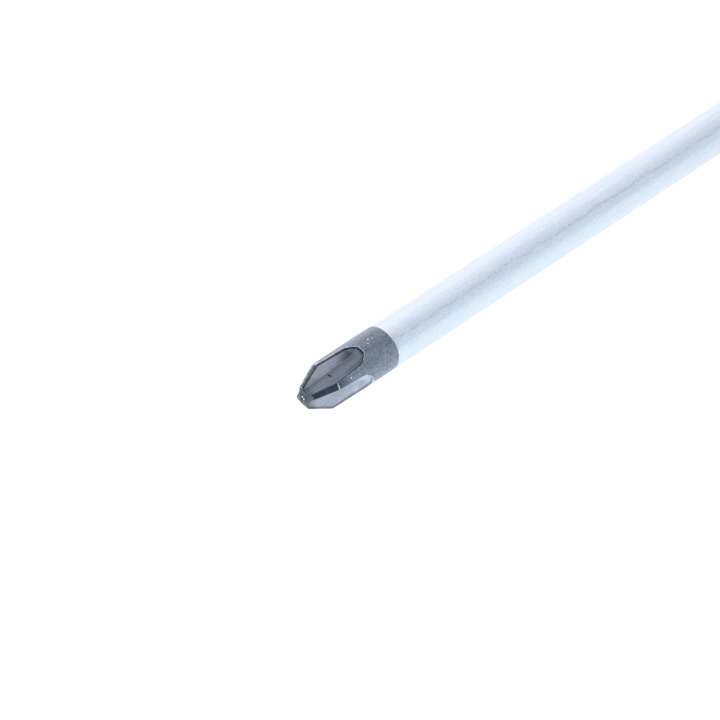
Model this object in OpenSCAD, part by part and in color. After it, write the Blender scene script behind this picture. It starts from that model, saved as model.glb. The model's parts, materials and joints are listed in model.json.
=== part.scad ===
// Insulated screwdriver with a cross tip, lying on a bench.
// X runs along the blade, with the tip at -X and the handle at +X, and Z is up.
// The origin is the middle of the overall length, on the plane the handle rests on.

/* [Blade] */
// Diameter of the bare tip and of the insulated shank behind it
shank_d = 6; // [5.5:0.1:6.5]
// Length of the blade in front of the handle
blade_l = 100; // [80:5:150]
// Length of the bare steel tip in front of the insulation
tip_l = 14; // [13.5:0.1:18]
// Thickness of the coloured warning layer under the insulation
inner_layer_t = 0.3; // [0.2:0.05:0.4]
// Thickness of the outer insulating layer
outer_layer_t = 0.4; // [0.3:0.05:0.5]

/* [Cross tip] */
// Radius of the tip where its blunt end cone meets the wings' taper
end_r = 1.5; // [1.3:0.05:1.6]
// Radius of the small pip at the very front of the tip
pip_r = 0.38; // [0.3:0.02:0.45]
// Slope of the blunt end cone, from the plane across the blade
end_slope = 24; // [22:1:30]
// Slope of the wings' outer edges, from the blade's axis
wing_slope = 26; // [24:0.5:28]
// Half of a wing's thickness at its outer shoulder
wing_half_t = 0.44; // [0.4:0.02:0.52]
// Slope of the flutes' bottoms, from the blade's axis
flute_slope = 4.5; // [3:0.25:5]
// Angle between a flute's two walls
flute_angle = 92; // [90:1:96]
// Angle between the two faces at a flute's bottom
root_angle = 172; // [166:1:176]
// Depth that the bottom faces fill in of the walls' own corner
root_fill = 0.52; // [0.45:0.01:0.58]
// Radius of the cutter whose run-out ends each flute
cutter_r = 1.7; // [1.5:0.1:3]
// Distance from the point of the tip to the start of the run-out
runout_x = 7.9; // [7:0.1:8.2]

/* [Handle] */
// Length of the handle
handle_l = 112; // [110:1:120]
// Radius over the ridges at the handle's widest place
ridge_r = 17; // [16.5:0.1:17.5]
// Radius of the guard's rounded corners
guard_r = 17.6; // [17.2:0.1:18]
// Radius of the narrow neck behind the guard
neck_r = 10.6; // [10.2:0.1:11]
// How far the soft pieces stand above the hard ones
soft_rise = 0.35; // [0.2:0.05:0.5]
// Depth of the soft pieces' recesses
soft_depth = 1.3; // [1.1:0.1:1.5]
// Radius of the hanging hole
hang_r = 2.5; // [2:0.1:2.8]

/* [Hidden] */
$fn = 96;

// A little extra, so that cutters pass right through.
over = 1;

// A radius well outside everything.
outside_r = 40;

// Number of flutes, soft pads and guard flats.
sides = 6;

// Blade: radii and places along X, counted from the point of the tip.
shank_r = shank_d / 2;
neck_down_r = shank_r - inner_layer_t - outer_layer_t;
pip_l = 0.03;
end_l = pip_l + (end_r - pip_r) * tan(end_slope);
shoulder_x = end_l + (shank_r - end_r) / tan(wing_slope);
blade_chamfer = 0.8;

// Direction of the first wing about the blade's axis, from +Y toward +Z.
wing_turn = 62.6;
// How far the flutes' cutter reaches out from a flute's bottom, and its length.
cutter_reach = 6;
groove_l = 12;

// How deep the sleeve and the blade sit in the handle.
sleeve_depth = 18;
blade_depth = 78;
sleeve_end_x = blade_l + sleeve_depth;
blade_end_x = blade_l + blade_depth;
// Inside the handle the sleeve thickens to a collar of this radius.
collar_r = 3.8;
// The sleeve's front edge tapers in a little.
lip_l = 0.55;
lip_t = 0.06;

// Ears that stop the blade turning in the handle's core.
ear_depth = 46;
ear_x = blade_l + ear_depth;
ear_l = 14;
ear_w = 10;
ear_t = 2;

// Handle: places along X are counted from the front of the handle.
nose_r = 5.2;
nose_chamfer = 0.6;
nose_flare_r = 4.5;
flange_start = 6;
flange_end = 11.5;
flange_rim_r = 4;
swell_at = 64;
swell_arc_r = 140;
neck_arc_r = 26;
band_front_start = 13;
band_front_end = 24.5;
band_rear_start = 95;
band_rear_end = 99;
core_start = flange_start;
core_r = 7.6;
core_rib_r = 9;
core_rib_t = 2.4;
core_rib_start = 30;
core_rib_end = 92;
core_end = 101;
core_spigot_r = 6;
cap_start = 99;
cap_bulge_r = 14.2;
disc_r = 7;
disc_t = 1.4;
cap_bulge_l = 4;
cap_corner_r = 4;
hang_at = handle_l - 5.8;

// Flutes of the handle: straight round grooves that run out where the handle narrows.
flute_tube_r = 9;
flute_bottom_r = 13.6;
flute_tube_at = flute_bottom_r + flute_tube_r;
pad_half_l = 23;
pad_half_w = 4;

// Centre of the swell's arc and of the neck's arc, which touch each other.
swell_centre_r = ridge_r - swell_arc_r;
neck_centre_r = neck_r + neck_arc_r;
neck_at = swell_at - sqrt(pow(swell_arc_r + neck_arc_r, 2) - pow(neck_centre_r - swell_centre_r, 2));
arc_touch_at = swell_at + (neck_at - swell_at) * swell_arc_r / (swell_arc_r + neck_arc_r);
// The neck's arc runs on a little past that place, so the two end in a clear step of a few microns.
arc_overrun = 0.5;
arc_join_at = arc_touch_at + arc_overrun;

// Height of the axis when the handle rests on the edges of two ridges.
rest_h = (pow(ridge_r, 2) + pow(flute_tube_at, 2) - pow(flute_tube_r, 2)) / (2 * flute_tube_at);

total_l = blade_l + handle_l;

// Puts a shape drawn along X from the point of the tip in its place.
module in_place() {
    translate([-total_l / 2, 0, rest_h]) children();
}

// The same for a shape drawn from the front of the handle.
module on_handle() {
    in_place() translate([blade_l, 0, 0]) children();
}

// Turns an outline of [radius, distance along X] about the X axis.
module turned() {
    rotate([0, 90, 0]) rotate_extrude() children();
}

// The band of a turned outline between two distances along X.
module band_2d(from, to, r = outside_r) {
    translate([0, from]) square([r, to - from]);
}

// One copy of its child for each side, the first one straight down.
module each_side() {
    for (i = [0 : sides - 1]) rotate([180 + i * 360 / sides, 0, 0]) children();
}

// ---- Blade ----

// Cross-section of a tip flute, with its bottom at the origin and opening toward +Y.
function flute_outline(reach) =
    let (
        wall = tan(flute_angle / 2),
        root = tan(root_angle / 2),
        bend_y = root_fill * wall / (root - wall),
        bend_x = bend_y * root,
        top_x = (reach + root_fill) * wall
    )
    [[0, 0], [bend_x, bend_y], [top_x, reach], [-top_x, reach], [-bend_x, bend_y]];

// One flute of the tip, cut along +Z: a sloping groove, then the cutter's run-out.
module tip_flute() {
    half = flute_angle / 2;
    // Distance from the axis to the corner of the walls, which sets the wing's thickness.
    corner_z = (wing_half_t + shank_r * tan(half - 45)) / (sin(45) + cos(45) * tan(half - 45));
    root_z = corner_z + root_fill;
    translate([shoulder_x, 0, root_z]) rotate([0, -flute_slope, 0]) {
        translate([runout_x - shoulder_x - groove_l, 0, 0])
            rotate([90, 0, 90]) linear_extrude(groove_l) polygon(flute_outline(cutter_reach));
        translate([runout_x - shoulder_x, 0, cutter_r])
            rotate([90, 0, 0]) rotate_extrude()
                polygon([for (p = flute_outline(cutter_r)) [cutter_r - p.y, p.x]]);
    }
}

// Outline of the whole bar: end cone, wings' taper, tip, turned-down neck and shank.
module bar_2d() {
    polygon([
        [0, 0],
        [pip_r / 2, 0],
        [pip_r, pip_l],
        [end_r, end_l],
        [shank_r, shoulder_x],
        [shank_r, tip_l],
        [neck_down_r, tip_l],
        [neck_down_r, sleeve_end_x],
        [shank_r, sleeve_end_x],
        [shank_r, blade_end_x - blade_chamfer],
        [shank_r - blade_chamfer, blade_end_x],
        [0, blade_end_x]
    ]);
}

// The two flattened ears, with sloping ends.
module ears() {
    slope = (ear_w / 2 - shank_r) * 2;
    translate([ear_x, 0, -ear_t / 2]) linear_extrude(ear_t) polygon([
        [0, shank_r - over],
        [slope, ear_w / 2],
        [ear_l - slope, ear_w / 2],
        [ear_l, shank_r - over],
        [ear_l, over - shank_r],
        [ear_l - slope, -ear_w / 2],
        [slope, -ear_w / 2],
        [0, over - shank_r]
    ]);
}

module bar_with_ears() {
    turned() bar_2d();
    ears();
}

module blade() {
    color([0.42, 0.45, 0.50]) in_place() difference() {
        bar_with_ears();
        for (i = [0 : 3]) rotate([wing_turn - 45 + i * 90, 0, 0]) tip_flute();
    }
}

// ---- Insulation ----

module sleeve_inner() {
    color([0.93, 0.60, 0.12]) in_place() turned()
        polygon([
            [neck_down_r, tip_l],
            [neck_down_r + inner_layer_t, tip_l],
            [neck_down_r + inner_layer_t, sleeve_end_x],
            [neck_down_r, sleeve_end_x]
        ]);
}

// The outer layer ends in a thicker collar that the handle is moulded round.
module sleeve_outer() {
    inner = neck_down_r + inner_layer_t;
    color([0.88, 0.91, 0.95]) in_place() turned()
        polygon([
            [inner, tip_l],
            [shank_r - lip_t, tip_l],
            [shank_r, tip_l + lip_l],
            [shank_r, blade_l],
            [collar_r, blade_l],
            [collar_r, sleeve_end_x],
            [inner, sleeve_end_x]
        ]);
}

// The space that the insulation fills, with the steel inside it.
module insulation_space() {
    turned() {
        band_2d(0, sleeve_end_x, shank_r);
        band_2d(blade_l, sleeve_end_x, collar_r);
    }
}

// ---- Handle ----

// Outline of the hard handle before its flutes: neck arc, then the long swell.
module handle_outline_2d(grow = 0) {
    difference() {
        band_2d(flange_end, arc_join_at, neck_centre_r);
        translate([neck_centre_r, neck_at]) circle(neck_arc_r - grow);
    }
    intersection() {
        band_2d(arc_join_at, handle_l);
        translate([swell_centre_r, swell_at]) circle(swell_arc_r + grow);
    }
}

// A ring between two distances along X, from its recess's bottom to just above the handle.
module soft_ring_2d(from, to) {
    intersection() {
        band_2d(from, to);
        difference() {
            handle_outline_2d(soft_rise);
            handle_outline_2d(-soft_depth);
        }
    }
}

// One flute's cutter above the handle, made bigger or smaller around the same centre line.
module flute_tube(grow = 0) {
    translate([band_front_end, 0, flute_tube_at]) rotate([0, 90, 0])
        cylinder(r = flute_tube_r + grow, h = cap_start - band_front_end);
}

// Straight-sided outline of a pad, seen along its flute's depth.
module pad_mask() {
    straight = pad_half_l - pad_half_w;
    translate([swell_at, 0, 0]) linear_extrude(ridge_r + over) {
        square([2 * straight, 2 * pad_half_w], center = true);
        for (side = [-1, 1]) translate([side * straight, 0]) circle(pad_half_w);
    }
}

// The hard inner core that holds the blade: a barrel with six keys and a rear spigot.
module core_shape() {
    turned() polygon([
        [0, core_start],
        [core_r, core_start],
        [core_r, cap_start],
        [core_spigot_r, cap_start],
        [core_spigot_r, core_end],
        [0, core_end]
    ]);
    for (i = [0 : sides - 1]) rotate([i * 360 / sides, 0, 0])
        translate([core_rib_start, -core_rib_t / 2, 0])
            cube([core_rib_end - core_rib_start, core_rib_t, core_rib_r]);
}

module handle_core() {
    color([0.82, 0.82, 0.78]) difference() {
        on_handle() core_shape();
        in_place() bar_with_ears();
        in_place() insulation_space();
    }
}

module handle_body() {
    color([0.78, 0.07, 0.05]) on_handle() difference() {
        turned() intersection() {
            handle_outline_2d();
            band_2d(flange_end, cap_start);
        }
        core_shape();
        turned() soft_ring_2d(band_front_start, band_front_end);
        turned() soft_ring_2d(band_rear_start, band_rear_end);
        each_side() {
            flute_tube();
            intersection() {
                flute_tube(soft_depth);
                pad_mask();
            }
        }
    }
}

module grip_pad(i) {
    color([0.11, 0.11, 0.12]) on_handle() rotate([180 + (i - 1) * 360 / sides, 0, 0])
        intersection() {
            difference() {
                flute_tube(soft_depth);
                flute_tube(-soft_rise);
            }
            pad_mask();
        }
}

module grip_band_front() {
    color([0.11, 0.11, 0.12]) on_handle() turned() soft_ring_2d(band_front_start, band_front_end);
}

module grip_band_rear() {
    color([0.11, 0.11, 0.12]) on_handle() turned() soft_ring_2d(band_rear_start, band_rear_end);
}

// Outline of the guard: a nose that flares into a flange with a rounded rim.
module guard_outline_2d() {
    flare_at = flange_start - nose_flare_r;
    rim_centre_r = guard_r - flange_rim_r;
    polygon([
        [0, 0],
        [nose_r - nose_chamfer, 0],
        [nose_r, nose_chamfer],
        [nose_r, flare_at],
        [0, flare_at]
    ]);
    difference() {
        band_2d(flare_at, flange_start, nose_r + nose_flare_r);
        translate([nose_r + nose_flare_r, flare_at]) circle(nose_flare_r);
    }
    band_2d(flange_start, flange_end, rim_centre_r);
    intersection() {
        band_2d(flange_start, flange_end, guard_r);
        translate([rim_centre_r, (flange_start + flange_end) / 2]) circle(flange_rim_r);
    }
}

// Guard with flats that stop the screwdriver rolling, the first one straight down.
module guard() {
    color([0.93, 0.73, 0.06]) difference() {
        on_handle() intersection() {
            turned() guard_outline_2d();
            rotate([90, 0, 90]) linear_extrude(handle_l) circle(rest_h / cos(180 / sides), $fn = sides);
        }
        on_handle() core_shape();
        in_place() insulation_space();
    }
}

// Rear cap with a rounded bulge, a hanging hole across it and a recess for the disc.
module end_cap() {
    corner_at = handle_l - cap_corner_r;
    front_r = swell_centre_r + sqrt(pow(swell_arc_r, 2) - pow(cap_start - swell_at, 2));
    color([0.78, 0.07, 0.05]) on_handle() difference() {
        turned() {
            polygon([
                [0, cap_start],
                [front_r, cap_start],
                [cap_bulge_r, cap_start + cap_bulge_l],
                [cap_bulge_r, corner_at],
                [0, corner_at]
            ]);
            translate([cap_bulge_r - cap_corner_r, corner_at]) circle(cap_corner_r);
            band_2d(corner_at, handle_l, cap_bulge_r - cap_corner_r);
        }
        core_shape();
        turned() band_2d(handle_l - disc_t, handle_l + over, disc_r);
        translate([hang_at, 0, 0]) rotate([90, 0, 0])
            cylinder(r = hang_r, h = 2 * outside_r, center = true);
    }
}

// Disc that marks the kind of tip, with a plain cross sunk in it.
module end_disc() {
    arm = 3.6;
    thick = 1.3;
    depth = 0.4;
    color([0.90, 0.90, 0.90]) on_handle() difference() {
        turned() band_2d(handle_l - disc_t, handle_l, disc_r);
        for (turn = [0, 90]) rotate([turn, 0, 0])
            translate([handle_l - depth, -arm, -thick / 2]) cube([depth + over, 2 * arm, thick]);
    }
}

blade();
sleeve_inner();
sleeve_outer();
handle_core();
handle_body();
guard();
grip_band_front();
grip_pad(1);  // grip_pad_1
grip_pad(2);  // grip_pad_2
grip_pad(3);  // grip_pad_3
grip_pad(4);  // grip_pad_4
grip_pad(5);  // grip_pad_5
grip_pad(6);  // grip_pad_6
grip_band_rear();
end_cap();
end_disc();
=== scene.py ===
import json
import math

import bmesh
import bpy
from mathutils import Matrix, Vector


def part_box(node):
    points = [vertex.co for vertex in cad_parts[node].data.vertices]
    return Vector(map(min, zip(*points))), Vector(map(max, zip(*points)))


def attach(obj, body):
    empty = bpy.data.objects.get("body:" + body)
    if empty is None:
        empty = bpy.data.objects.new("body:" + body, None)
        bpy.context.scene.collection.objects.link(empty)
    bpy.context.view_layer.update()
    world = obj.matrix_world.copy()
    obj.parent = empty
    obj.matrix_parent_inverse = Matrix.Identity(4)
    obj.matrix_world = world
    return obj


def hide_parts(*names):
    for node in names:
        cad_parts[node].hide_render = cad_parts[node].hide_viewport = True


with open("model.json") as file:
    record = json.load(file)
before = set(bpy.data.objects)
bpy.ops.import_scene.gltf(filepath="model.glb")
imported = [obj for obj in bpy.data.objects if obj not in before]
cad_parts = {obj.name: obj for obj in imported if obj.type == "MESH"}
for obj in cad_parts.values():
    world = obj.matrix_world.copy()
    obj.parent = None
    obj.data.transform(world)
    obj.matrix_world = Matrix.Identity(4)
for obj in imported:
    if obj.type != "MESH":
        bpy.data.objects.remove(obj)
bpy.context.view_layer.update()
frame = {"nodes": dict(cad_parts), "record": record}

MM = 0.001

# ---- Places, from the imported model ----

mounts = {mount["name"]: mount for mount in frame["record"]["mounts"]}
TIP = Vector(mounts["cross_tip"]["pos_m"])
AXIS_Z = TIP.z
SHANK_R = mounts["shank"]["dims"]["r_mm"]
HANDLE_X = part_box("guard")[0].x


def span(node):
    """Where a node starts and ends along the handle, in millimetres from the handle's front."""
    low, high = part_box(node)
    return (low.x - HANDLE_X) / MM, (high.x - HANDLE_X) / MM


GUARD_END = span("guard")[1]
BODY_START, BODY_END = span("handle_body")
BAND_FRONT = span("grip_band_front")
BAND_REAR = span("grip_band_rear")
PAD_START, PAD_END = span("grip_pad_1")
CAP_START, CAP_END = span("end_cap")
HANG_X = (mounts["hanging_hole"]["pos_m"][0] - HANDLE_X) / MM
HANG_R = mounts["hanging_hole"]["dims"]["r_mm"]

# ---- Sizes of the handle, in millimetres, as the CAD has them ----

SIDES = 6
RIDGE_R = 17.0
SWELL_ARC_R = 140.0
NECK_R = 10.6
NECK_ARC_R = 26.0
CORE_R = 7.6
COLLAR_R = 3.8
SPIGOT_R = 6.0
SPIGOT_L = 2.0
FLUTE_TUBE_R = 9.0
FLUTE_AT = 22.6
SOFT_RISE = 0.35
SOFT_DEPTH = 1.3
PAD_HALF_W = 4.0
DISC_R = 7.0
DISC_T = 1.4
NOSE_R = 5.2
NOSE_FLARE_R = 4.5
FLANGE_T = 5.5
CAP_BULGE_R = 14.2

# How deep the moulded handle is recessed under its soft pieces. They are deeper, so that no gap shows.
RECESS = 1.0

# The handle's outline is a swelling arc that runs into a hollow arc at the neck. These are how far
# the arcs' centres are from the axis and from each other, and where they and their meeting point lie.
SWELL_CENTRE = RIDGE_R - SWELL_ARC_R
NECK_CENTRE = NECK_R + NECK_ARC_R
ARCS_APART = SWELL_ARC_R + NECK_ARC_R
SWELL_AT = (PAD_START + PAD_END) / 2
NECK_AT = SWELL_AT - math.sqrt(ARCS_APART**2 - (NECK_CENTRE - SWELL_CENTRE) ** 2)
MEET_AT = SWELL_AT + (NECK_AT - SWELL_AT) * SWELL_ARC_R / ARCS_APART


# ---- Material nodes ----


class Graph:
    """A new material, with its nodes made and linked in one call each."""

    def __init__(self, name):
        self.material = bpy.data.materials.new(name)
        self.material.use_nodes = True
        self.tree = self.material.node_tree
        self.shader = self.tree.nodes["Principled BSDF"]
        self.coords = self.tree.nodes.new("ShaderNodeTexCoord").outputs["Object"]

    def put(self, socket, value):
        """Links a node's output to a socket, or sets the socket's own value."""
        if isinstance(value, bpy.types.NodeSocket):
            self.tree.links.new(value, socket)
        else:
            socket.default_value = value

    def node(self, kind, *values, **settings):
        """A node with its first sockets and its settings set. A socket whose value is None is left."""
        made = self.tree.nodes.new("ShaderNode" + kind)
        for name, setting in settings.items():
            setattr(made, name, setting)
        for socket, value in zip(made.inputs, values):
            if value is not None:
                self.put(socket, value)
        return made

    def math(self, operation, a, b=0.0):
        """One step of arithmetic on numbers."""
        return self.node("Math", a, b, operation=operation).outputs[0]

    def vector(self, operation, a, b=(0.0, 0.0, 0.0)):
        """One step of arithmetic on vectors."""
        made = self.node("VectorMath", a, b, operation=operation)
        scalar = operation in ("LENGTH", "DOT_PRODUCT", "DISTANCE")
        return made.outputs["Value" if scalar else "Vector"]

    def ramp(self, value, start, end, low=0.0, high=1.0):
        """Low up to start, high past end, and a smooth step between."""
        made = self.node("MapRange", value, start, end, low, high, interpolation_type="SMOOTHSTEP")
        return made.outputs[0]

    def spread(self, noise, low, high):
        """Low to high over 0.3 to 0.7, where nearly all of a noise's values are."""
        return self.ramp(noise, 0.3, 0.7, low, high)

    def plus(self, *parts):
        """The sum of several numbers, each a socket or a plain number."""
        total = parts[0]
        for part in parts[1:]:
            total = self.math("ADD", total, part)
        return total

    def times(self, *parts):
        """The product of several numbers, each a socket or a plain number."""
        product = parts[0]
        for part in parts[1:]:
            product = self.math("MULTIPLY", product, part)
        return product

    def from_tip(self):
        """Where a point is, counted from the tip's point, in millimetres."""
        offset = self.vector("SUBTRACT", self.coords, tuple(TIP))
        return self.vector("MULTIPLY", offset, (1 / MM,) * 3)

    def mix(self, factor, a, b):
        """Colour a, turning into colour b as factor goes to 1."""
        made = self.node("Mix", factor, data_type="RGBA")
        self.put(made.inputs[6], a)
        self.put(made.inputs[7], b)
        return made.outputs[2]

    def scaled(self, colour, factor):
        """A colour multiplied by a number that varies over the surface."""
        if not isinstance(colour, bpy.types.NodeSocket):
            colour = colour[:3]
        factors = self.node("CombineXYZ", factor, factor, factor).outputs[0]
        return self.vector("MULTIPLY", colour, factors)

    def noise(self, scale, detail=3.0, roughness=0.55, offset=0.0):
        """Noise from 0 to 1. scale is its features per millimetre along X, Y and Z."""
        place = self.vector("MULTIPLY", self.coords, tuple(s / MM for s in scale))
        place = self.vector("ADD", place, (offset, offset, offset))
        made = self.node("TexNoise", place, noise_dimensions="3D")
        made.inputs["Scale"].default_value = 1.0
        made.inputs["Detail"].default_value = detail
        made.inputs["Roughness"].default_value = roughness
        return made.outputs[0]

    def cells(self, scale):
        """Voronoi cells, with scale of them per millimetre: the distance from the nearest middle."""
        place = self.vector("MULTIPLY", self.coords, (scale / MM,) * 3)
        made = self.node("TexVoronoi", place)
        made.inputs["Scale"].default_value = 1.0
        return made.outputs["Distance"]

    def bump(self, height, depth_mm, normal=None):
        """Surface normals for a height from 0 to 1 that stands for depth_mm."""
        made = self.node("Bump")
        made.inputs["Strength"].default_value = 1.0
        made.inputs["Distance"].default_value = depth_mm * MM
        self.put(made.inputs["Height"], height)
        if normal is not None:
            self.put(made.inputs["Normal"], normal)
        return made.outputs[0]

    def round_normal(self, radius_mm, samples):
        """Normals as if the edges were rounded."""
        return self.node("Bevel", radius_mm * MM, samples=samples).outputs[0]

    def edges(self, radius_mm, start, end):
        """1 along sharp edges and 0 away from them. start and end are how far the rounded normal turns."""
        true_normal = self.node("NewGeometry").outputs["True Normal"]
        alike = self.vector("DOT_PRODUCT", self.round_normal(radius_mm, 6), true_normal)
        return self.ramp(alike, 1 - end, 1 - start, 1.0, 0.0)

    def finish(self, colour, roughness, normal=None, **sockets):
        """Links the shader and gives the material. coat_weight stands for Coat Weight, and so on."""
        self.put(self.shader.inputs["Base Color"], colour)
        self.put(self.shader.inputs["Roughness"], roughness)
        if normal is not None:
            self.put(self.shader.inputs["Normal"], normal)
        for name, value in sockets.items():
            self.put(self.shader.inputs[name.replace("_", " ").title()], value)
        return self.material


# ---- Materials of the blade ----

# The first two colours are the blackened outside's upper and lower side: a painted reflection tint.
STEEL_UPPER_PAINTED_TINT = (0.185, 0.207, 0.262, 1)
STEEL_LOWER_PAINTED_TINT = (0.173, 0.208, 0.259, 1)
STEEL_FLUTE = (0.355, 0.385, 0.455, 1)
# The next three colours are painted shade at the flutes' rear and flat bottom, and painted light on the
# lower flute.
STEEL_FLUTE_REAR_PAINTED_SHADE = (0.185, 0.215, 0.268, 1)
STEEL_ROOT_PAINTED_SHADE = (0.138, 0.150, 0.186, 1)
STEEL_LOW_FLUTE_PAINTED_LIGHT = (0.375, 0.42, 0.50, 1)
STEEL_END = (0.078, 0.096, 0.114, 1)
STEEL_TAPER = (0.056, 0.077, 0.098, 1)
STEEL_TOP_TAPER = (0.115, 0.130, 0.155, 1)
# A painted shade colour, for the flutes' lips and front.
STEEL_PAINTED_SHADE = (0.012, 0.014, 0.018, 1)
STEEL_BRIGHT = (0.80, 0.84, 0.90, 1)
NICK_BLACK = (0.002, 0.002, 0.003, 1)
# The sleeve's two colours are a painted reflection tint for its lower and upper side.
SLEEVE_LOWER_PAINTED_TINT = (0.61, 0.685, 0.775, 1)
SLEEVE_UPPER_PAINTED_TINT = (0.64, 0.680, 0.79, 1)

# The middle of a noise, where the milling lines fade out.
NO_LINES = (0.5, 0.5, 0.5, 1)

# The tip's shape, in millimetres from its point, as the CAD has it.
PIP_R = 0.38
PIP_L = 0.03
END_R = 1.5
END_L = 0.53
WING_SLOPE = math.radians(26)
SHOULDER_X = END_L + (SHANK_R - END_R) / math.tan(WING_SLOPE)
ROOT_HALF_W = 0.58
VEE_HALF_W = 0.16

# Directions about the blade's axis, turned from +Y toward +Z.
UP_FLUTE = math.radians(107.6)
LOW_FLUTE = UP_FLUTE + math.pi / 2
TOP_WING = UP_FLUTE - math.pi / 4
FRONT_WING = UP_FLUTE + math.pi / 4
# The blackened outside gets a painted shade along the first of these two bands.
PAINTED_SHADE_BAND = math.radians(103)
FAINT_BAND = math.radians(160)
# A faint line runs along the sleeve on this side, and UPPER_SIDE is square to it.
SIDE_LINE = math.radians(132)
UPPER_SIDE = SIDE_LINE - math.pi / 2

# Marks on the tip: a dark nick in the upper flute, and bright specks with their radius. The places of the
# nick and of the first eight specks were found by casting rays from the camera through the marks in the
# photo onto the blade, and rounded. The nick was then moved a little, and the last speck and all the radii
# were chosen.
NICK = (4.53, -0.32, 1.28)
NICK_END = (4.62, -0.58, 1.20)
NICK_HALF_W = 0.13
SPECKS = [
    ((5.85, -2.65, 1.40), 0.11),
    ((11.30, -0.30, 2.98), 0.12),
    ((11.90, -0.47, 2.96), 0.10),
    ((10.80, -0.77, 2.90), 0.09),
    ((4.00, 1.28, 2.71), 0.16),
    ((0.05, -0.03, 0.43), 0.12),
    ((0.03, -0.27, 0.25), 0.12),
    ((0.48, 0.58, 1.26), 0.09),
    ((9.70, -2.76, -1.18), 0.22),
]


def around(turn):
    """The direction across the blade's axis at that turn from +Y toward +Z."""
    return (0.0, math.cos(turn), math.sin(turn))


class Tip:
    """Masks and textures of the blade's tip. A mask is 1 in its region and 0 outside it."""

    def __init__(self, g):
        self.g = g
        self.place = g.from_tip()
        self.along = g.node("SeparateXYZ", self.place).outputs[0]
        across = g.vector("MULTIPLY", self.place, (0, 1, 1))
        self.outward = g.vector("NORMALIZE", across)

        # How far a point is under the outline that the flutes are cut into.
        wing_r = self.cone_r(END_L, END_R, math.tan(WING_SLOPE))
        end_r = self.cone_r(PIP_L, PIP_R, (END_R - PIP_R) / (END_L - PIP_L))
        outline_r = g.math("MINIMUM", g.math("MINIMUM", wing_r, end_r), SHANK_R)
        self.skin = g.math("SUBTRACT", outline_r, g.vector("LENGTH", across))
        self.flute = g.ramp(self.skin, 0.02, 0.06)
        self.outside = g.math("SUBTRACT", 1.0, self.flute)
        self.low_side = self.faces(LOW_FLUTE, 46, 50)
        self.low_end = g.times(self.low_side, self.flute, g.ramp(self.along, 6.8, 7.8))

        # Distance from the middle plane of the nearest flute.
        side_a = g.math("ABSOLUTE", self.toward(UP_FLUTE))
        side_b = g.math("ABSOLUTE", self.toward(LOW_FLUTE))
        self.off_middle = g.math("MINIMUM", side_a, side_b)

        self.grain = g.noise((4.2, 4.2, 4.2), 2.0, 0.6)
        self.mottle = g.noise((0.7, 0.9, 0.9), 3.0, 0.55, 5.0)
        self.worn = g.ramp(g.noise((1.7, 1.7, 1.7), 3.0, 0.65, 3.0), 0.36, 0.56)
        milling = g.noise((0.06, 6.5, 6.5), 2.0, 0.6, 11.0)
        self.lines = g.mix(g.ramp(self.along, 7.2, 8.2), milling, NO_LINES)

    def cone_r(self, start, start_r, slope):
        """Radius of a cone that has start_r at start and widens by slope."""
        run = self.g.math("SUBTRACT", self.along, start)
        return self.g.math("ADD", self.g.math("MULTIPLY", run, slope), start_r)

    def toward(self, turn):
        """How far a point is from the axis in that direction, in millimetres."""
        return self.g.vector("DOT_PRODUCT", self.place, around(turn))

    def faces(self, turn, inner, outer):
        """1 within the inner angle of that direction, and 0 past the outer angle, in degrees."""
        alike = self.g.vector("DOT_PRODUCT", self.outward, around(turn))
        return self.g.ramp(alike, math.cos(math.radians(outer)), math.cos(math.radians(inner)))

    def before(self, place, half_width=0.03):
        """1 before a place along the tip and 0 past it."""
        return self.g.ramp(self.along, place - half_width, place + half_width, 1.0, 0.0)

    def line(self, value, middle, half_width):
        """1 where a value in millimetres is at the middle, and 0 past the half width."""
        off = self.g.math("ABSOLUTE", self.g.math("SUBTRACT", value, middle))
        return self.g.ramp(off, half_width * 0.4, half_width, 1.0, 0.0)


def land_colour(g, tip):
    """The blackened outside: spotted, with painted highlights on its flanks, a painted reflection tint by
    side and a painted shade band, and a faint darker band.
    """
    # Painted shade: darker along one band and lighter off it.
    painted_band_shade = g.ramp(tip.faces(PAINTED_SHADE_BAND, 4, 30), 0.0, 1.0, 1.15, 0.88)
    faint_band = g.ramp(tip.faces(FAINT_BAND, 4, 26), 0.0, 1.0, 1.0, 0.94)
    upward = g.vector("DOT_PRODUCT", tip.outward, around(UPPER_SIDE))
    # Painted highlight: the flanks are lighter.
    painted_flank_highlight = g.ramp(g.math("ABSOLUTE", upward), 0.65, 0.95, 1.0, 1.15)
    spotted = g.plus(g.spread(tip.grain, 0.72, 1.26), g.spread(tip.mottle, -0.08, 0.08))
    # Painted reflection: the upper and lower side are tinted apart.
    steel = g.mix(g.ramp(upward, -0.8, 0.8), STEEL_LOWER_PAINTED_TINT, STEEL_UPPER_PAINTED_TINT)
    return g.scaled(steel, g.times(painted_band_shade, faint_band, painted_flank_highlight, spotted))


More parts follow.
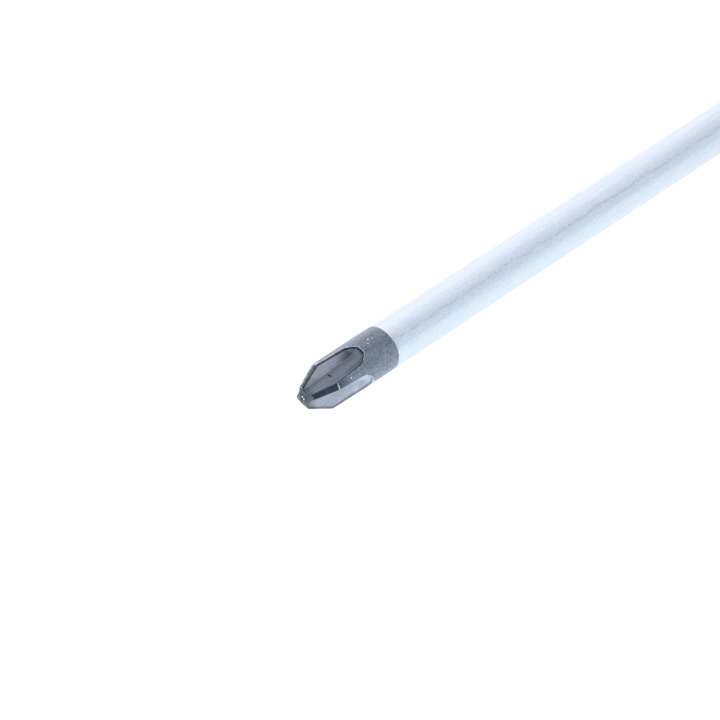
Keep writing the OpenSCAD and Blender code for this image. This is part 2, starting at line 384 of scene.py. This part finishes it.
def flute_colour(g, tip):
    """The milled flutes: painted shade toward their rear and on their flat bottom, and painted light that
    makes the lower flute paler.
    """
    fine = g.spread(tip.grain, -0.10, 0.10)

    def milled(colour, low, high):
        return g.scaled(colour, g.plus(g.ramp(tip.lines, 0.32, 0.68, low, high), fine))

    # Painted shade: the walls darken toward the rear.
    walls = milled(g.mix(g.ramp(tip.along, 5.0, 8.5), STEEL_FLUTE, STEEL_FLUTE_REAR_PAINTED_SHADE), 0.82, 1.14)
    # Painted shade: the flat bottom is darker.
    bottom = milled(STEEL_ROOT_PAINTED_SHADE, 0.93, 1.07)
    # Painted light: the lower flute is paler, darker near its front and lighter still toward its rear.
    low = milled(STEEL_LOW_FLUTE_PAINTED_LIGHT, 0.88, 1.12)
    low = g.scaled(low, g.ramp(tip.along, 0.5, 1.8, 0.6, 1.0))
    low = g.scaled(low, g.ramp(tip.along, 6.8, 7.8, 1.0, 1.45))
    root = g.times(tip.flute, g.ramp(tip.off_middle, ROOT_HALF_W - 0.02, ROOT_HALF_W + 0.02, 1.0, 0.0))
    past_root = g.ramp(tip.toward(LOW_FLUTE), ROOT_HALF_W - 0.02, ROOT_HALF_W + 0.02)
    low_wall = g.times(tip.flute, tip.faces(UP_FLUTE, 50, 56), past_root)
    colour = g.mix(root, walls, bottom)
    colour = g.mix(tip.low_side, colour, low)
    return g.mix(low_wall, colour, g.scaled(STEEL_FLUTE, g.ramp(tip.lines, 0.32, 0.68, 1.10, 1.40)))


def with_front(g, tip, colour):
    """The colour with the wings' dark taper, the end cone, and a darker patch behind the front wing's
    shoulder.
    """
    near_edge = g.ramp(tip.toward(FRONT_WING), -0.20, 0.20)
    far_edge = g.mix(g.times(tip.worn, 0.45), STEEL_TOP_TAPER, STEEL_BRIGHT)
    top_taper = g.mix(near_edge, far_edge, STEEL_TAPER)
    taper = g.mix(tip.faces(TOP_WING, 20, 34), STEEL_TAPER, top_taper)
    on_taper = g.times(tip.outside, tip.before(SHOULDER_X))
    on_end = g.times(tip.outside, tip.before(END_L))
    # Darker behind the front wing's shoulder, fading out toward the rear.
    darker_behind_shoulder = g.times(
        tip.outside,
        tip.faces(FRONT_WING, 20, 34),
        g.ramp(tip.along, SHOULDER_X + 0.1, SHOULDER_X + 2.6, 0.85, 0.0),
        g.math("SUBTRACT", 1.0, tip.before(SHOULDER_X)),
    )
    colour = g.mix(on_taper, colour, g.scaled(taper, g.spread(tip.grain, 0.75, 1.35)))
    colour = g.mix(on_end, colour, g.scaled(STEEL_END, g.ramp(tip.grain, 0.35, 0.65, 0.6, 1.5)))
    return g.mix(darker_behind_shoulder, colour, STEEL_TAPER)


def with_painted_flute_shade_and_lines(g, tip, colour):
    """The colour with painted shade in the flutes' lips, a painted shadow at their front, and fine light
    lines along their bottoms.
    """
    # Painted shade under the flutes' upper edges, weaker on the lower flute, and a painted shadow at the
    # upper flute's front.
    how_dark = g.ramp(tip.low_side, 0.0, 1.0, 0.88, 0.50)
    painted_lip_shade = g.times(tip.flute, g.ramp(tip.skin, 0.20, 0.40, 1.0, 0.0), how_dark)
    painted_mouth_shadow = g.times(tip.flute, tip.faces(UP_FLUTE, 40, 50), g.ramp(tip.along, 0.7, 1.7, 0.40, 0.0))
    root_line = g.times(tip.flute, tip.line(tip.off_middle, ROOT_HALF_W, 0.06))
    vee_line = g.times(tip.flute, tip.line(tip.off_middle, VEE_HALF_W, 0.05))
    colour = g.mix(painted_lip_shade, colour, STEEL_PAINTED_SHADE)
    colour = g.mix(painted_mouth_shadow, colour, STEEL_PAINTED_SHADE)
    return g.mix(g.times(g.math("MAXIMUM", root_line, vee_line), 0.09), colour, STEEL_BRIGHT)


def bright_marks(g, tip):
    """Burrs along the edges and the wings' shoulders, worn off in places, and the specks."""
    edge = g.times(
        g.edges(0.14, 0.006, 0.04),
        tip.outside,
        g.ramp(tip.along, SHOULDER_X - 0.3, SHOULDER_X, 0.25, 1.0),
        g.ramp(tip.faces(FRONT_WING, 16, 24), 0.0, 1.0, 1.0, 0.15),
    )
    shoulder = g.times(tip.outside, tip.line(tip.along, SHOULDER_X, 0.09))
    torn = g.math("MAXIMUM", tip.worn, g.ramp(tip.along, 7.4, 8.6, 0.12, 0.75))
    bright = g.times(g.math("MAXIMUM", edge, shoulder), torn)
    for place, radius in SPECKS:
        distance = g.vector("DISTANCE", tip.place, place)
        bright = g.math("MAXIMUM", bright, g.ramp(distance, radius * 0.5, radius, 1.0, 0.0))
    return bright


def nick_mark(g, tip):
    """A long oval nick, as a mask."""
    reach = Vector(NICK_END) - Vector(NICK)
    offset = g.vector("SUBTRACT", tip.place, NICK)
    lengthways = g.vector("DOT_PRODUCT", offset, tuple(reach.normalized()))
    lengthways_sq = g.math("POWER", lengthways, 2.0)
    sideways_sq = g.math("SUBTRACT", g.math("POWER", g.vector("LENGTH", offset), 2.0), lengthways_sq)
    oval = g.plus(
        g.math("POWER", g.math("DIVIDE", lengthways, reach.length), 2.0),
        g.math("DIVIDE", sideways_sq, NICK_HALF_W**2),
    )
    return g.ramp(oval, 0.45, 1.1, 1.0, 0.0)


def tip_steel():
    """Blackened steel with milled flutes, bright burrs on its edges and a few marks."""
    g = Graph("tip_steel")
    tip = Tip(g)
    bright = bright_marks(g, tip)
    colour = g.mix(tip.flute, land_colour(g, tip), flute_colour(g, tip))
    colour = with_front(g, tip, colour)
    colour = with_painted_flute_shade_and_lines(g, tip, colour)
    colour = g.mix(bright, colour, STEEL_BRIGHT)
    colour = g.mix(nick_mark(g, tip), colour, NICK_BLACK)
    rough = g.plus(
        g.ramp(tip.flute, 0.0, 1.0, 0.40, 0.34),
        g.spread(tip.mottle, -0.04, 0.06),
        g.times(tip.low_end, 0.2),
    )
    height = g.plus(g.times(tip.grain, 0.6), g.times(tip.lines, tip.flute, 0.35), bright)
    metallic = g.ramp(tip.low_end, 0.0, 1.0, 0.92, 0.40)
    return g.finish(colour, rough, g.bump(height, 0.003), metallic=metallic)


def insulation():
    """Pale satin sleeve: fine drawing lines along it, a fine grain, one faint wavy line, and a painted
    reflection tint by side.
    """
    g = Graph("insulation")
    place = g.from_tip()
    streak = g.noise((0.05, 2.6, 2.6), 3.0, 0.6)
    wave = g.noise((0.16, 0.55, 0.55), 2.0, 0.5, 7.0)
    grain = g.noise((4.0, 4.0, 4.0), 2.0, 0.6, 3.0)
    upward = g.vector("DOT_PRODUCT", place, around(UPPER_SIDE))
    facing = g.ramp(g.vector("DOT_PRODUCT", place, around(SIDE_LINE)), 1.9, 2.9)
    wander = g.spread(g.noise((0.22, 0.0, 0.0), 2.0, 0.6, 12.0), -0.16, 0.26)
    broken = g.ramp(g.noise((0.9, 0.0, 0.0), 2.0, 0.6, 20.0), 0.38, 0.60, 0.25, 1.0)
    off_line = g.math("ABSOLUTE", g.math("SUBTRACT", upward, wander))
    wavy_line = g.times(g.ramp(off_line, 0.03, 0.20, 1.0, 0.0), facing, broken)
    value = g.plus(
        g.spread(streak, 0.94, 1.04),
        g.times(g.spread(grain, -1.0, 1.0), g.ramp(facing, 0.0, 1.0, 0.03, 0.075)),
        g.times(wavy_line, -0.15),
    )
    # Painted reflection: the upper and lower side are tinted apart.
    colour = g.scaled(g.mix(g.ramp(upward, -2.2, 2.4), SLEEVE_LOWER_PAINTED_TINT, SLEEVE_UPPER_PAINTED_TINT), value)
    rough = g.plus(0.45, g.spread(streak, -0.04, 0.06), g.spread(grain, -0.03, 0.04))
    height = g.plus(g.times(grain, 1.70), g.times(streak, 0.60), g.times(wave, 4.0))
    return g.finish(colour, rough, g.bump(height, 0.004), metallic=0.75)


# ---- Materials of the handle and of the hidden pieces ----

RED = (0.44, 0.012, 0.012, 1)
RED_WORN = (0.62, 0.20, 0.18, 1)
YELLOW = (0.66, 0.36, 0.015, 1)
YELLOW_WORN = (0.78, 0.60, 0.30, 1)
ORANGE = (0.85, 0.32, 0.02, 1)
IVORY = (0.62, 0.62, 0.55, 1)
DISC_GREY = (0.58, 0.58, 0.57, 1)
GRIP_BLACK = (0.026, 0.027, 0.030, 1)
GRIP_DUST = (0.25, 0.25, 0.26, 1)


def hard_plastic(name, colour, worn):
    """Moulded plastic: faint colour drift, fine texture, rubbed places and thin scratches."""
    g = Graph(name)
    drift = g.noise((0.08, 0.08, 0.08), 3.0)
    peel = g.noise((2.4, 2.4, 2.4), 2.0, 0.5, 4.0)
    rubbed = g.ramp(g.noise((0.12, 0.3, 0.3), 4.0, 0.6, 9.0), 0.52, 0.74)
    scratch = g.ramp(g.noise((0.25, 4.5, 1.1), 2.0, 0.5, 1.0), 0.66, 0.70)
    tinted = g.scaled(colour, g.spread(drift, 0.94, 1.05))
    tinted = g.mix(g.times(rubbed, 0.09), tinted, worn)
    tinted = g.mix(g.times(scratch, 0.08), tinted, worn)
    rough = g.plus(0.30, g.times(rubbed, 0.16), g.spread(peel, -0.04, 0.05))
    height = g.plus(g.times(peel, 0.8), g.times(scratch, -0.5))
    normal = g.bump(height, 0.012, g.round_normal(0.25, 4))
    return g.finish(tinted, rough, normal, coat_weight=0.12, coat_roughness=0.2)


def soft_grip():
    """Matt black elastomer with a fine spark-eroded texture and a little grey dust."""
    g = Graph("soft_grip")
    pit = g.cells(2.6)
    fine = g.noise((3.5, 3.5, 3.5), 3.0, 0.6)
    dust = g.ramp(g.noise((0.2, 0.2, 0.2), 4.0, 0.65, 6.0), 0.5, 0.78)
    colour = g.scaled(GRIP_BLACK, g.spread(fine, 0.75, 1.3))
    colour = g.mix(g.times(dust, 0.12), colour, GRIP_DUST)
    rough = g.plus(0.62, g.spread(fine, -0.05, 0.08), g.times(dust, 0.1))
    height = g.plus(g.times(pit, 0.9), g.times(fine, 0.5))
    return g.finish(colour, rough, g.bump(height, 0.03), sheen_weight=0.08)


def plain_plastic(name, colour, roughness):
    """Plastic of a piece that is mostly hidden: colour drift and a fine grain."""
    g = Graph(name)
    drift = g.noise((0.15, 0.15, 0.15), 3.0)
    grain = g.noise((2.5, 2.5, 2.5), 3.0, 0.6, 2.0)
    tinted = g.scaled(colour, g.plus(g.spread(drift, 0.92, 1.05), g.spread(grain, -0.03, 0.03)))
    rough = g.plus(roughness, g.spread(grain, -0.05, 0.06))
    normal = g.bump(grain, 0.01, g.round_normal(0.15, 4))
    return g.finish(tinted, rough, normal)


# ---- New pieces ----


def at(x, side, up):
    """A place on the handle: x from its front, side along Y and up from the axis, in millimetres."""
    return Vector((HANDLE_X + x * MM, side * MM, AXIS_Z + up * MM))


def make(name, verts, faces, material, slot, *nodes):
    """A closed smooth piece in place of CAD nodes."""
    shape = bmesh.new()
    made = [shape.verts.new(v) for v in verts]
    for face in faces:
        shape.faces.new([made[i] for i in face])
    bmesh.ops.remove_doubles(shape, verts=shape.verts, dist=0.002 * MM)
    bmesh.ops.recalc_face_normals(shape, faces=shape.faces)
    mesh = bpy.data.meshes.new(name)
    shape.to_mesh(mesh)
    shape.free()
    piece = bpy.data.objects.new(name, mesh)
    bpy.context.scene.collection.objects.link(piece)
    mesh.materials.append(material)
    smooth(mesh)
    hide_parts(*nodes)
    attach(piece, "root")
    return piece


def smooth(mesh):
    """Shades a mesh smooth, with its real corners left sharp."""
    mesh.shade_smooth()
    mesh.set_sharp_from_angle(angle=math.radians(38))


def rounded(corners, steps=6):
    """An outline of (x, radius) points from corners (x, radius, fillet), each rounded by its fillet."""
    outline = []
    count = len(corners)
    most = 0.49  # of a side's length, so that two fillets on one side stay apart
    for i, (x, r, fillet) in enumerate(corners):
        here = Vector((x, r))
        if fillet == 0:
            outline.append((x, r))
            continue
        before = Vector(corners[i - 1][:2]) - here
        after = Vector(corners[(i + 1) % count][:2]) - here
        half = before.angle(after) / 2
        reach = min(fillet / math.tan(half), before.length * most, after.length * most)
        middle = (before.normalized() + after.normalized()).normalized() * (reach / math.cos(half))
        centre = here + middle
        start = here + before.normalized() * reach - centre
        end = here + after.normalized() * reach - centre
        sweep = start.angle_signed(end)
        for k in range(steps + 1):
            spoke = start.copy()
            spoke.rotate(Matrix.Rotation(-sweep * k / steps, 2))
            outline.append(tuple(centre + spoke))
    return outline


def turned(outline, steps, shape=None):
    """Points and faces of a closed outline of (x, radius), turned about the axis.

    shape gives the radius that a point of the outline has at each angle.
    """
    verts = []
    for i in range(steps):
        angle = 2 * math.pi * i / steps
        for x, r in outline:
            if shape:
                r = shape(x, r, angle)
            verts.append(at(x, r * math.sin(angle), -r * math.cos(angle)))
    count = len(outline)
    faces = []
    for i in range(steps):
        here, there = i * count, (i + 1) % steps * count
        for j in range(count):
            after = (j + 1) % count
            corners = (here + j, here + after, there + after, there + j)
            on_axis = outline[j][1] < 1e-6, outline[after][1] < 1e-6
            if all(on_axis):
                continue
            if on_axis[0]:
                corners = (here + j, here + after, there + after)
            elif on_axis[1]:
                corners = (here + j, here + after, there + j)
            faces.append(corners)
    return verts, faces


def soft_min(a, b, width):
    """The smaller of two numbers, rounded off where they are closer than width."""
    close = max(width - abs(a - b), 0) / width
    return min(a, b) - close * close * width / 4


def step_between(value, start, end):
    """0 up to start, 1 past end, and a smooth step between."""
    t = min(max((value - start) / (end - start), 0), 1)
    return t * t * (3 - 2 * t)


def handle_r(x):
    """Radius of the hard handle before its flutes."""
    if x < MEET_AT:
        return NECK_CENTRE - math.sqrt(NECK_ARC_R**2 - (x - NECK_AT) ** 2)
    return SWELL_CENTRE + math.sqrt(SWELL_ARC_R**2 - (x - SWELL_AT) ** 2)


def off_centre(angle):
    """Angle from the middle of the nearest flute or flat."""
    sector = 2 * math.pi / SIDES
    return (angle + sector / 2) % sector - sector / 2


def flute_r(angle):
    """Distance from the axis to the wall of the nearest flute, or infinity between flutes."""
    off = off_centre(angle)
    side = FLUTE_AT * math.sin(off)
    if abs(side) >= FLUTE_TUBE_R:
        return math.inf
    return FLUTE_AT * math.cos(off) - math.sqrt(FLUTE_TUBE_R**2 - side**2)


def pad_inset(x, side):
    """How far inside a pad's outline a place on its flute is."""
    straight = (PAD_END - PAD_START) / 2 - PAD_HALF_W
    along = max(abs(x - SWELL_AT) - straight, 0)
    return PAD_HALF_W - math.hypot(along, side)


def body_shape(x, r, angle):
    """The fluted handle with rounded ridges, and a recess under each pad."""
    if r <= CORE_R + 0.5:
        return r
    ridge_round = 1.3
    recess_edge = 0.45
    recess_floor = 1.1
    r = soft_min(r, flute_r(angle), ridge_round)
    inset = pad_inset(x, r * math.sin(off_centre(angle)))
    return r - RECESS * step_between(inset, recess_edge, recess_floor)


def handle_body(material):
    """The hard fluted handle, recessed under its soft bands."""
    outline = [(BODY_START, CORE_R)]
    rows = 175
    inside = 0.2
    for i in range(rows + 1):
        x = BODY_START + (BODY_END - BODY_START) * i / rows
        under = any(start + inside < x < end - inside for start, end in (BAND_FRONT, BAND_REAR))
        outline.append((x, handle_r(x) - (RECESS if under else 0.0)))
    outline.append((BODY_END, CORE_R))
    verts, faces = turned(outline, 360, body_shape)
    return make("handle_body_moulded", verts, faces, material, "hard_red", "handle_body")


def band(name, limits, grooves, material, node):
    """A soft ring with rounded edges and grooves round it."""
    start, end = limits
    groove_floor = 0.1
    groove_edge = 0.55
    groove_d = 0.45
    edge_r = 0.45
    row_gap = 0.11
    outline = [(start, handle_r(start) - SOFT_DEPTH)]
    rows = int((end - start) / row_gap)
    for i in range(rows + 1):
        x = start + (end - start) * i / rows
        rise = SOFT_RISE
        for near in (x - start, end - x):
            if near < edge_r:
                rise -= edge_r - math.sqrt(edge_r**2 - (edge_r - near) ** 2)
        for k in range(grooves):
            middle = start + (end - start) * (k + 1) / (grooves + 1)
            rise -= groove_d * (1 - step_between(abs(x - middle), groove_floor, groove_edge))
        outline.append((x, handle_r(x) + rise))
    outline.append((end, handle_r(end) - SOFT_DEPTH))
    verts, faces = turned(outline, 192)
    return make(name, verts, faces, material, "soft_grip", node)


def grip_pad(number, material):
    """A soft pad in a flute: rounded edges, and cross grooves that fade out before them."""
    turn = 2 * math.pi * (number - 1) / SIDES
    outward = Vector((0, math.sin(turn), -math.cos(turn)))
    across = Vector((0, math.cos(turn), math.sin(turn)))
    straight = (PAD_END - PAD_START) / 2 - PAD_HALF_W
    edge_w = 0.8
    edge_drop = 0.9
    pitch = 3.0
    groove_d = 0.30
    groove_floor = 0.12
    groove_edge = 0.62
    side_fade = (0.9, 1.6)
    end_fade = (straight - 2.2, straight - 1.2)
    along_steps = 150
    end_steps = 22
    edge_steps = 7
    top_steps = 8

    def height(inset, x):
        """How far the pad stands above its flute: a round edge, then grooves that fade in."""
        rise = SOFT_RISE
        if inset < edge_w:
            rise -= edge_drop * (1 - math.sqrt(max(1 - (1 - inset / edge_w) ** 2, 0)))
        from_groove = abs((x + pitch / 2) % pitch - pitch / 2)
        depth = groove_d * (1 - step_between(from_groove, groove_floor, groove_edge))
        return rise - depth * step_between(inset, *side_fade) * (1 - step_between(abs(x), *end_fade))

    def ring(inset):
        """Places (x, side) round the pad, that far inside its outline."""
        r = PAD_HALF_W - inset
        places = [(straight * (2 * i / along_steps - 1), -r) for i in range(along_steps)]
        places += [
            (straight + r * math.sin(math.pi * i / end_steps), -r * math.cos(math.pi * i / end_steps))
            for i in range(end_steps)
        ]
        places += [(-x, -side) for x, side in places]
        return places

    def surface(x, side, rise):
        """A place that far above the flute's wall."""
        reach = FLUTE_AT - math.sqrt((FLUTE_TUBE_R - rise) ** 2 - side**2)
        return at(SWELL_AT + x, 0, 0) + (outward * reach + across * side) * MM

    insets = [edge_w * (1 - math.cos(math.pi / 2 * i / edge_steps)) for i in range(edge_steps + 1)]
    insets += [edge_w + (PAD_HALF_W - edge_w) * i / top_steps for i in range(1, top_steps + 1)]
    verts = []
    for inset in reversed(insets):
        verts += [surface(x, side, height(inset, x)) for x, side in ring(inset)]
    for inset in (0.0, PAD_HALF_W / 2, PAD_HALF_W):
        verts += [surface(x, side, -SOFT_DEPTH) for x, side in ring(inset)]
    count = 2 * (along_steps + end_steps)
    faces = []
    for i in range(len(insets) + 2):
        for j in range(count):
            after = (j + 1) % count
            faces.append((i * count + j, i * count + after, (i + 1) * count + after, (i + 1) * count + j))
    return make(f"grip_pad_{number}_ribbed", verts, faces, material, "soft_grip", f"grip_pad_{number}")


def guard(material):
    """The finger guard: nose, flare and a hexagonal flange with rounded edges."""
    flange = GUARD_END - FLANGE_T
    edge_r = 16.5
    crown_r = 17.75
    flat = AXIS_Z / MM
    corner_round = 0.4
    flare_steps = 9
    corners = [
        (0.0, COLLAR_R, 0),
        (0.0, NOSE_R, 0.6),
        (flange - NOSE_FLARE_R, NOSE_R, 0),
    ]
    for i in range(1, flare_steps):
        turn = math.pi / 2 * i / flare_steps
        x = flange - NOSE_FLARE_R + NOSE_FLARE_R * math.sin(turn)
        corners.append((x, NOSE_R + NOSE_FLARE_R * (1 - math.cos(turn)), 0))
    corners += [
        (flange, NOSE_R + NOSE_FLARE_R, 0),
        (flange, edge_r, 1.0),
        ((flange + GUARD_END) / 2, crown_r, 3.0),
        (GUARD_END, edge_r, 1.0),
        (GUARD_END, CORE_R, 0),
        (flange, CORE_R, 0),
        (flange, COLLAR_R, 0),
    ]

    def hexagon(x, r, angle):
        """The six flats, which stop the handle from rolling."""
        return soft_min(r, flat / math.cos(off_centre(angle)), corner_round)

    verts, faces = turned(rounded(corners), 300, hexagon)
    return make("guard_moulded", verts, faces, material, "hard_yellow", "guard")


def cut(piece, cutter_verts, cutter_faces):
    """Takes a closed shape away from a piece."""
    shape = bmesh.new()
    made = [shape.verts.new(v) for v in cutter_verts]
    for face in cutter_faces:
        shape.faces.new([made[i] for i in face])
    bmesh.ops.recalc_face_normals(shape, faces=shape.faces)
    mesh = bpy.data.meshes.new("cutter")
    shape.to_mesh(mesh)
    shape.free()
    cutter = bpy.data.objects.new("cutter", mesh)
    bpy.context.scene.collection.objects.link(cutter)
    boolean = piece.modifiers.new("cut", "BOOLEAN")
    boolean.object = cutter
    boolean.solver = "EXACT"
    graph = bpy.context.evaluated_depsgraph_get()
    result = bpy.data.meshes.new_from_object(piece.evaluated_get(graph))
    piece.modifiers.clear()
    old = piece.data
    result.name = old.name
    piece.data = result
    bpy.data.meshes.remove(old)
    bpy.data.objects.remove(cutter)
    bpy.data.meshes.remove(mesh)
    smooth(result)


def end_cap(material):
    """The rear cap, with a rounded rim round its hanging hole."""
    rim_r = 0.9
    row_gap = 0.3
    front_r = handle_r(CAP_START)
    outer = rounded(
        [
            (CAP_START + SPIGOT_L, 0, 0),
            (CAP_START + SPIGOT_L, SPIGOT_R, 0),
            (CAP_START, SPIGOT_R, 0),
            (CAP_START, front_r, 0.4),
            (CAP_START + 4, CAP_BULGE_R, 4.0),
            (CAP_END, CAP_BULGE_R, 4.0),
            (CAP_END, DISC_R, 0.35),
            (CAP_END - DISC_T, DISC_R, 0),
            (CAP_END - DISC_T, 0, 0),
        ],
        16,
    )
    outline = []
    for i, (x, r) in enumerate(outer[:-1]):
        outline.append((x, r))
        after = outer[i + 1]
        gap = math.hypot(after[0] - x, after[1] - r)
        pieces = int(gap / row_gap) if r > DISC_R + 1 and after[1] > DISC_R + 1 else 0
        outline += [
            (x + (after[0] - x) * k / pieces, r + (after[1] - r) * k / pieces) for k in range(1, pieces)
        ]
    outline.append(outer[-1])

    def rim(x, r, angle):
        """Rounds the skin down toward the edge of the hanging hole."""
        near = HANG_R + rim_r - math.hypot(x - HANG_X, r * math.cos(angle))
        if r < DISC_R + 1 or near <= 0:
            return r
        return r - rim_r + math.sqrt(rim_r**2 - min(near, rim_r) ** 2)

    verts, faces = turned(outline, 320, rim)
    piece = make("end_cap_moulded", verts, faces, material, "hard_red", "end_cap")
    sides = 96
    reach = CAP_BULGE_R + 2
    ring = []
    for side in (-reach, reach):
        for i in range(sides):
            turn = 2 * math.pi * i / sides
            ring.append(at(HANG_X + HANG_R * math.cos(turn), side, HANG_R * math.sin(turn)))
    walls = [(i, (i + 1) % sides, (i + 1) % sides + sides, i + sides) for i in range(sides)]
    cut(piece, ring, walls + [tuple(range(sides)), tuple(range(sides, 2 * sides))])
    return piece


# ---- The object ----

red = hard_plastic("hard_red", RED, RED_WORN)
yellow = hard_plastic("hard_yellow", YELLOW, YELLOW_WORN)
grip = soft_grip()
cad_materials = {
    "blade": tip_steel(),
    "sleeve_outer": insulation(),
    "sleeve_inner": plain_plastic("warning_layer", ORANGE, 0.5),
    "handle_core": plain_plastic("core_plastic", IVORY, 0.45),
    "end_disc": plain_plastic("disc_plastic", DISC_GREY, 0.35),
}
for node, material in cad_materials.items():
    mesh = frame["nodes"][node].data
    mesh.materials.clear()
    mesh.materials.append(material)

handle_body(red)
guard(yellow)
band("grip_band_front_grooved", BAND_FRONT, 3, grip, "grip_band_front")
band("grip_band_rear_grooved", BAND_REAR, 1, grip, "grip_band_rear")
for pad in range(1, SIDES + 1):
    grip_pad(pad, grip)
end_cap(red)

# ---- Floor, light and camera ----


def floor():
    """A pale table that gives a little light of its own, like a light table."""
    g = Graph("pale_floor")
    tone = g.noise((0.004, 0.004, 0.004), 2.0)
    material = g.finish(g.scaled((0.86, 0.87, 0.88, 1), g.spread(tone, 0.985, 1.0)), 0.9)
    g.shader.inputs["Specular IOR Level"].default_value = 0.1
    g.shader.inputs["Emission Color"].default_value = (1.0, 1.0, 1.0, 1)
    g.shader.inputs["Emission Strength"].default_value = 0.50
    half = 6.0
    mesh = bpy.data.meshes.new("floor")
    corners = [(-half, -half, 0), (half, -half, 0), (half, half, 0), (-half, half, 0)]
    mesh.from_pydata(corners, [], [(0, 1, 2, 3)])
    mesh.materials.append(material)
    table = bpy.data.objects.new("floor", mesh)
    bpy.context.scene.collection.objects.link(table)
    just_under = 0.05
    table.location.z = -just_under * MM


# Parts of the surroundings: direction, angle of the even part in degrees, angle where it ends, and how
# much darker it is. The last one is a little lighter.
SHADES = [
    ((0.0, -0.67, 0.74), 12, 70, 0.37),
    ((-0.23, -0.95, 0.18), 8, 34, 0.85),
    ((0.59, -0.54, 0.60), 1, 12, 0.30),
    ((0.59, 0.74, 0.32), 5, 40, -0.08),
]
SKY = (1.23, 1.265, 1.285, 1)


def surroundings():
    """A white tent all round, darker on the side that is open."""
    world = bpy.data.worlds.new("tent")
    bpy.context.scene.world = world
    world.use_nodes = True
    tree = world.node_tree
    direction = tree.nodes.new("ShaderNodeTexCoord").outputs["Generated"]
    light = None
    for middle, inner, outer, dark in SHADES:
        toward = tree.nodes.new("ShaderNodeVectorMath")
        toward.operation = "DOT_PRODUCT"
        tree.links.new(direction, toward.inputs[0])
        toward.inputs[1].default_value = Vector(middle).normalized()
        step = tree.nodes.new("ShaderNodeMapRange")
        step.interpolation_type = "SMOOTHSTEP"
        tree.links.new(toward.outputs["Value"], step.inputs["Value"])
        step.inputs["From Min"].default_value = math.cos(math.radians(outer))
        step.inputs["From Max"].default_value = math.cos(math.radians(inner))
        step.inputs["To Min"].default_value = 1.0
        step.inputs["To Max"].default_value = 1.0 - dark
        value = step.outputs[0]
        if light is not None:
            product = tree.nodes.new("ShaderNodeMath")
            product.operation = "MULTIPLY"
            tree.links.new(light, product.inputs[0])
            tree.links.new(value, product.inputs[1])
            value = product.outputs[0]
        light = value
    background = tree.nodes["Background"]
    background.inputs["Color"].default_value = SKY
    tree.links.new(light, background.inputs["Strength"])


def softbox(name, place, size, power):
    """A large square lamp that faces the object."""
    lamp = bpy.data.lights.new(name, "AREA")
    lamp.size = size
    lamp.energy = power
    box = bpy.data.objects.new(name, lamp)
    bpy.context.scene.collection.objects.link(box)
    box.location = place
    box.rotation_mode = "QUATERNION"
    box.rotation_quaternion = (-Vector(place)).to_track_quat("-Z", "Y")


def camera():
    """A long lens, looking down on the tip from in front and from the side."""
    turn = math.radians(-47.4)
    tilt = math.radians(36.8)
    behind_tip = 14.1
    to_left = 2.62
    down = 1.45
    away = 402
    right = Vector((math.cos(turn), math.sin(turn), 0))
    forward = Vector((-math.sin(turn) * math.cos(tilt), math.cos(turn) * math.cos(tilt), -math.sin(tilt)))
    up = right.cross(forward)
    aim = TIP + Vector((behind_tip * MM, 0, 0))
    lens = bpy.data.cameras.new("camera")
    lens.lens = 165
    lens.sensor_width = 36
    lens.clip_start = 0.01
    viewer = bpy.data.objects.new("camera", lens)
    bpy.context.scene.collection.objects.link(viewer)
    viewer.location = aim - (to_left * right + down * up + away * forward) * MM
    viewer.rotation_euler = Matrix((right, up, -forward)).transposed().to_euler()
    bpy.context.scene.camera = viewer


floor()
surroundings()
softbox("softbox_top", (0.15, 0.55, 1.1), 0.9, 1.5)
camera()
bpy.context.scene.view_settings.view_transform = "Standard"
